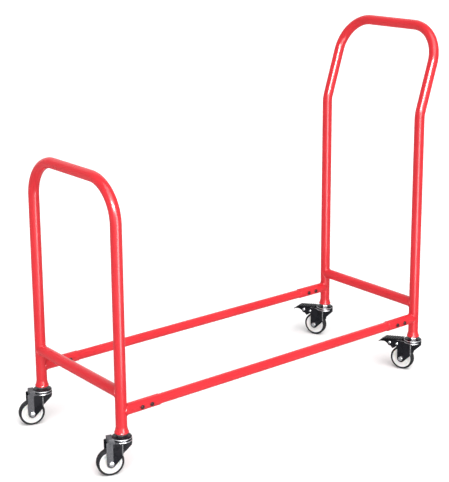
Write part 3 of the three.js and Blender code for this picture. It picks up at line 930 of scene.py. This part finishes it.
def axle_nut_shape():
    face = FORK_OUT + GAP
    nut = hex_turned([
        (0, face), (7.2, face), (7.2, face + 0.9), (7.5, face + 1.3), (7.5, face + 4.6),
        (6.8, face + 5.2), (6.2, face + 5.4), (5.9, face + 6.5), (0, face + 6.5),
    ], AXLE_HEX_FLATS)
    hole = lathe([(0, face - 5), (4.25, face - 5), (4.25, face + 12), (0, face + 12)], 32)
    return along_y(cut(nut, hole)).moved(Matrix.Translation((-TRAIL, 0, WHEEL_R)))


def pedal_shape():
    """A pressed channel: a top sheet with ribs that turns down at the tip, and two side flanges."""
    top = filleted([(-33, 104.5, 0.8), (-97, 98, 5.0), (-114, 85.5, 0.8), (-112.3, 83.3, 0.6),
                    (-96, 95.4, 4.0), (-33, 101.9, 0.5)])
    sheet = prism(top, -PEDAL_HALF_W, PEDAL_HALF_W, 0.9)
    pin, shoe = Vector(PEDAL_PIN), Vector(SHOE_PIN)
    flange = filleted([
        (-35, 103.5), (-96, 97, 2), (-109, 87, 1), (-91, 86.5, 4), (shoe.x - 8, shoe.y - 5, 4),
        (shoe.x - 4, shoe.y - 11, 5), (shoe.x + 4, shoe.y - 12, 6), (shoe.x + 13, shoe.y - 6, 6),
        (pin.x - 4, pin.y - 9.5, 5), (pin.x + 5, pin.y - 8, 5), (pin.x + 9, pin.y + 3, 4), (-36, 93, 3),
    ])
    sides = [prism(flange, y, y + 1.9, 0.5) for y in (-13.4, 11.5)]
    ribs = []
    slope = math.atan2(6.5, 64)
    for k in range(7):
        along = 8.0 + 8.4 * k
        x = -33 - along * math.cos(slope)
        z = 104.5 - along * math.sin(slope)
        rib = filleted([
            (x - 2.4, z - 1.2), (x + 2.4, z - 1.2), (x + 1.6, z + 1.7, 1.4), (x - 1.6, z + 1.7, 1.4),
        ])
        ribs.append(prism(rib, -13.5, 13.5, 0.9))
    pin_hole, rivet_hole = hole_along_y(2.6, *PEDAL_PIN, 24), hole_along_y(2.8, *SHOE_PIN, 24)
    return cut(joined(sheet, *sides, *ribs), pin_hole, rivet_hole)


def shoe_shape():
    """The shoe's pad, hollowed to fit the tread once the pedal is down, and its rivet."""
    pin = Vector(PEDAL_PIN)
    from_pin = Vector((-TRAIL, WHEEL_R)) - pin
    from_pin.rotate(Matrix.Rotation(math.radians(-PEDAL_TRAVEL), 2))
    face = hole_along_y(WHEEL_R + SHOE_CLEARANCE, *(pin + from_pin), 96)
    pad = prism(filleted([(-66, 94, 1), (-80, 93, 2), (-81, 84, 3), (-71, 71, 3), (-65, 65, 1),
                          (-57, 65), (-57, 80, 2)]), -10.8, 10.8, 0.8)
    rivet = lathe(filleted([
        (0, -15.2), (3.4, -15.2, 0.9), (4.8, -14.4, 0.4), (4.8, -13.7), (2.5, -13.7),
        (2.5, 13.7), (4.8, 13.7), (4.8, 14.4, 0.4), (3.4, 15.2, 0.9), (0, 15.2),
    ], loop=False), 32)
    return cut(pad, face), along_y(rivet).moved(Matrix.Translation((SHOE_PIN[0], 0, SHOE_PIN[1])))


def brake_pin_shape():
    pin = lathe(filleted([
        (0, -18.5), (2.8, -18.5, 0.9), (4.0, -17.6, 0.3), (4.0, -16.8), (2.3, -16.8),
        (2.3, 16.8), (4.0, 16.8), (4.0, 17.6, 0.3), (2.8, 18.5, 0.9), (0, 18.5),
    ], loop=False), 32)
    return along_y(pin).moved(Matrix.Translation((PEDAL_PIN[0], 0, PEDAL_PIN[1])))


def on_grained_sheen_part(p, n):
    """The plain fork's rough-coated parts, painted a lighter grey as a painted sheen: the rear of its legs
    and its guard block.
    """
    return (p.x < -28 and abs(p.y) > 15 and p.z < 94) or (p.x < -14 and p.z > 94)


def on_lip_sheen(p, n):
    """The outer face of the pressed lip, painted a lighter grey as a painted sheen line."""
    return abs(p.y) > FORK_OUT - 0.6 and -4.0 < p.x < 0.0 and p.z < 94.5


def on_leg_edge_highlight(p, n):
    """The rounded top edges of the fork's legs, given bright steel as a painted highlight line."""
    if abs(p.y) < 14.0 or p.z < 52 or abs(n.y) > 0.93 or abs(n.y) < 0.2:
        return False
    return (p.x > -3.0 and p.x < 1.0) or (p.z > 96.5 and p.z < 99.5 and p.x > -44)


def on_cap_step_highlight(p, n):
    """The step near the bearing cap's edge, painted bright as a highlight."""
    return 105.2 < p.z < 106.9 and p.x ** 2 + p.y ** 2 > 26.8 ** 2


STEM, CAP, RACE = stem_shape(), cap_shape(), race_shape()
CORE, TREAD = core_shape().moved(wheel_matrix()), tread_shape().moved(wheel_matrix())
AXLE_BOLT, AXLE_NUT = axle_bolt_shape(), axle_nut_shape()
FORKS = {False: fork_shape(False), True: fork_shape(True)}
PEDAL, (SHOE, RIVET), BRAKE_PIN = pedal_shape(), shoe_shape(), brake_pin_shape()

for corner in CORNERS:
    place = caster_place[corner]
    braked = corner.startswith("handle")
    caster, wheel, brake = "caster_" + corner, "wheel_" + corner, "brake_" + corner
    piece("stem_" + corner, STEM, ZINC, "frame", ["caster_stem_" + corner], place)
    piece("cap_" + corner, CAP, BLACK, "frame", ["bearing_cap_" + corner], place, 50,
          [(HIGHLIGHT_EDGE, on_cap_step_highlight)])
    piece("race_" + corner, RACE, ZINC, "frame", ["ball_race_" + corner], place)
    piece("fork_" + corner, FORKS[braked], BLACK, caster, ["caster_fork_" + corner], place,
          others=[(HIGHLIGHT_EDGE, on_leg_edge_highlight), (LIP_SHEEN, on_lip_sheen)] + ([] if braked else [(GRAIN_SHEEN, on_grained_sheen_part)]))
    piece("core_" + corner, CORE, NYLON, wheel, ["wheel_core_" + corner], place, 50)
    piece("tread_" + corner, TREAD, RUBBER, wheel, ["wheel_tread_" + corner], place, 50)
    piece("axle_" + corner, AXLE_BOLT, ZINC, caster, ["axle_bolt_" + corner], place, 30)
    piece("nut_" + corner, AXLE_NUT, ZINC, caster, ["axle_nut_" + corner], place, 30)
    if braked:
        piece("pedal_" + corner, PEDAL, BLACK, brake, ["brake_pedal_" + corner], place)
        piece("shoe_" + corner, SHOE, BLACK, brake, ["brake_shoe_" + corner], place)
        piece("rivet_" + corner, RIVET, ZINC, brake, (), place)
        piece("pin_" + corner, BRAKE_PIN, ZINC, caster, ["brake_pin_" + corner], place)


# ---- floor, light and camera ----


def floor():
    """A pale floor that reaches far past the frame of every view."""
    shape = Shape()
    half = 40000.0
    shape.cap(shape.ring([(-half, -half, 0), (half, -half, 0), (half, half, 0), (-half, half, 0)]))
    material, tree, shader = new_material("pale_floor")
    cloud = noise(tree, 0.6, 2.0)
    tree.links.new(ramp(tree, cloud, [(0.3, 0.90), (0.7, 0.93)]), shader.inputs["Base Color"])
    shader.inputs["Roughness"].default_value = 0.9
    shader.inputs["Specular IOR Level"].default_value = 0.1
    mesh = mesh_of(shape, "studio_floor", Matrix.Translation((0, 0, -0.2)))
    mesh.materials.append(material)
    made = bpy.data.objects.new("studio_floor", mesh)
    bpy.context.scene.collection.objects.link(made)
    if mesh.polygons[0].normal.z < 0:
        mesh.flip_normals()
    # The tubes mirror the lights and not the floor, as on a raised glass table.
    made.visible_glossy = False
    made.visible_shadow = False


floor()

CENTRE = sum(legs.values(), Vector()) / len(legs) * MM
RIGHT = Vector((0.77994649, -0.62581057, -0.00667776))
AHEAD = Vector((0.60716139, 0.75920565, -0.23443941))


def aimed(obj, position, target):
    obj.location = position
    obj.rotation_mode = "QUATERNION"
    obj.rotation_quaternion = (Vector(target) - Vector(position)).to_track_quat("-Z", "Y")


def sun(name, toward, strength, angle):
    data = bpy.data.lights.new(name, "SUN")
    data.energy = strength
    data.angle = math.radians(angle)
    made = bpy.data.objects.new(name, data)
    bpy.context.scene.collection.objects.link(made)
    aimed(made, -Vector(toward), (0, 0, 0))


world = bpy.data.worlds.new("studio")
bpy.context.scene.world = world
world.use_nodes = True
sky = world.node_tree.nodes["Background"]
sky.inputs["Color"].default_value = (1.0, 1.0, 1.0, 1.0)
sky.inputs["Strength"].default_value = 0.45

level = Vector((AHEAD.x, AHEAD.y, 0)).normalized()
side = Vector((RIGHT.x, RIGHT.y, 0)).normalized()
sun("high_key", level * 0.55 - side * 0.25 - UP * 1.0, 2.8, 60)
sun("fill", level * 1.0 - side * 0.25 - UP * 0.30, 1.60, 80)
sun("back_fill", level * -1.0 + side * 0.20 - UP * 0.35, 0.70, 80)


def card(name, angle, distance, height, width, tall, power):
    """A bright upright card that only the shiny surfaces show, angle degrees to the right of the line
    from the rack's middle to the camera."""
    data = bpy.data.lights.new(name, "AREA")
    data.shape = "RECTANGLE"
    data.size = width
    data.size_y = tall
    data.energy = power
    made = bpy.data.objects.new(name, data)
    bpy.context.scene.collection.objects.link(made)
    made.visible_camera = False
    made.visible_diffuse = False
    away = level * -math.cos(math.radians(angle)) + side * math.sin(math.radians(angle))
    aimed(made, CENTRE + away * distance + UP * height, CENTRE + UP * height)


card("leg_card", 24, 2.2, 0.40, 0.95, 1.7, 56)
card("streak_card", 5, 2.43, 1.88, 1.50, 0.70, 260)

camera_data = bpy.data.cameras.new("camera")
camera_data.lens = 92.615
camera_data.shift_y = -0.1266
camera_data.sensor_width = 36.0
camera_data.clip_end = 200.0
camera = bpy.data.objects.new("camera", camera_data)
bpy.context.scene.collection.objects.link(camera)
up = RIGHT.cross(AHEAD)
turn = Matrix((RIGHT, up, -AHEAD)).transposed().to_4x4()
camera.matrix_world = Matrix.Translation(CENTRE + Vector((-2.2856, -2.8042, 1.5638))) @ turn
bpy.context.scene.camera = camera

bpy.context.scene.view_settings.view_transform = "Standard"
